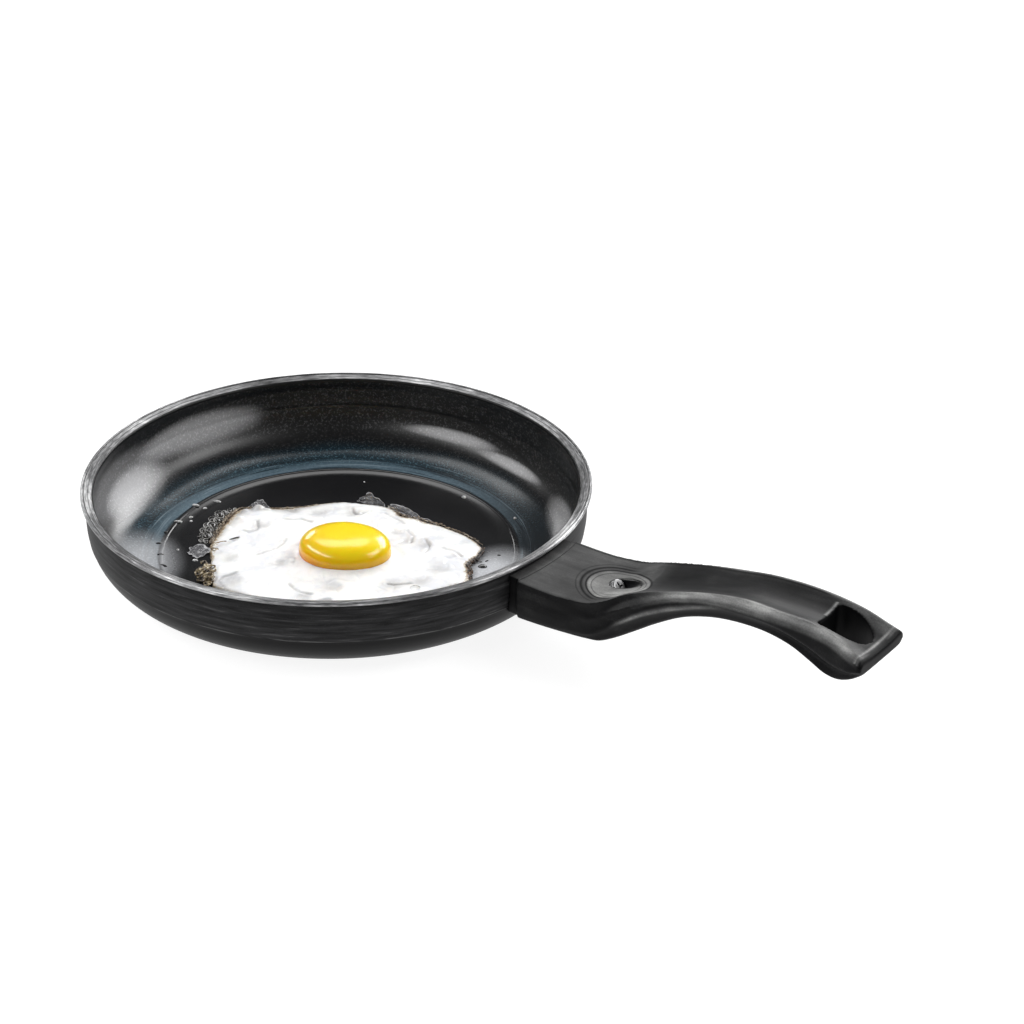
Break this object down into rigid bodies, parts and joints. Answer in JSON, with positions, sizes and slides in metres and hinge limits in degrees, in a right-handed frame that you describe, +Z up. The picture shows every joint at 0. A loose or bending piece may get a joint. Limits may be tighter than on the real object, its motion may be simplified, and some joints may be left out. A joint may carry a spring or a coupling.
{
  "type": "fried egg in a frying pan",
  "caption": "Sunny-side-up fried egg with a raised yolk, lying in a round non-stick frying pan with a rolled-out rim and a curved, hollow-topped moulded handle with a hanging hole.",
  "frame": {"origin": "centre of the pan's flat underside, on the surface that the pan stands on", "axes": "+X from the pan's centre along the handle, +Z up out of the pan, +Y completes a right-handed frame"},
  "size_m": [0.4095, 0.2398, 0.0612],
  "materials": {
    "pan_aluminium": "dark non-stick coating inside, black enamel outside, bare brushed rim",
    "handle_moulding": "satin moulded phenolic",
    "screw_steel": "bare steel",
    "egg_white": "cooked, softly glossy",
    "egg_yolk": "wet gloss"
  },
  "bodies": {
    "root": {"pan_body": "pan_aluminium", "handle": "handle_moulding", "handle_screw": "screw_steel", "egg_white": "egg_white", "egg_yolk": "egg_yolk"}
  },
  "joints": []
}
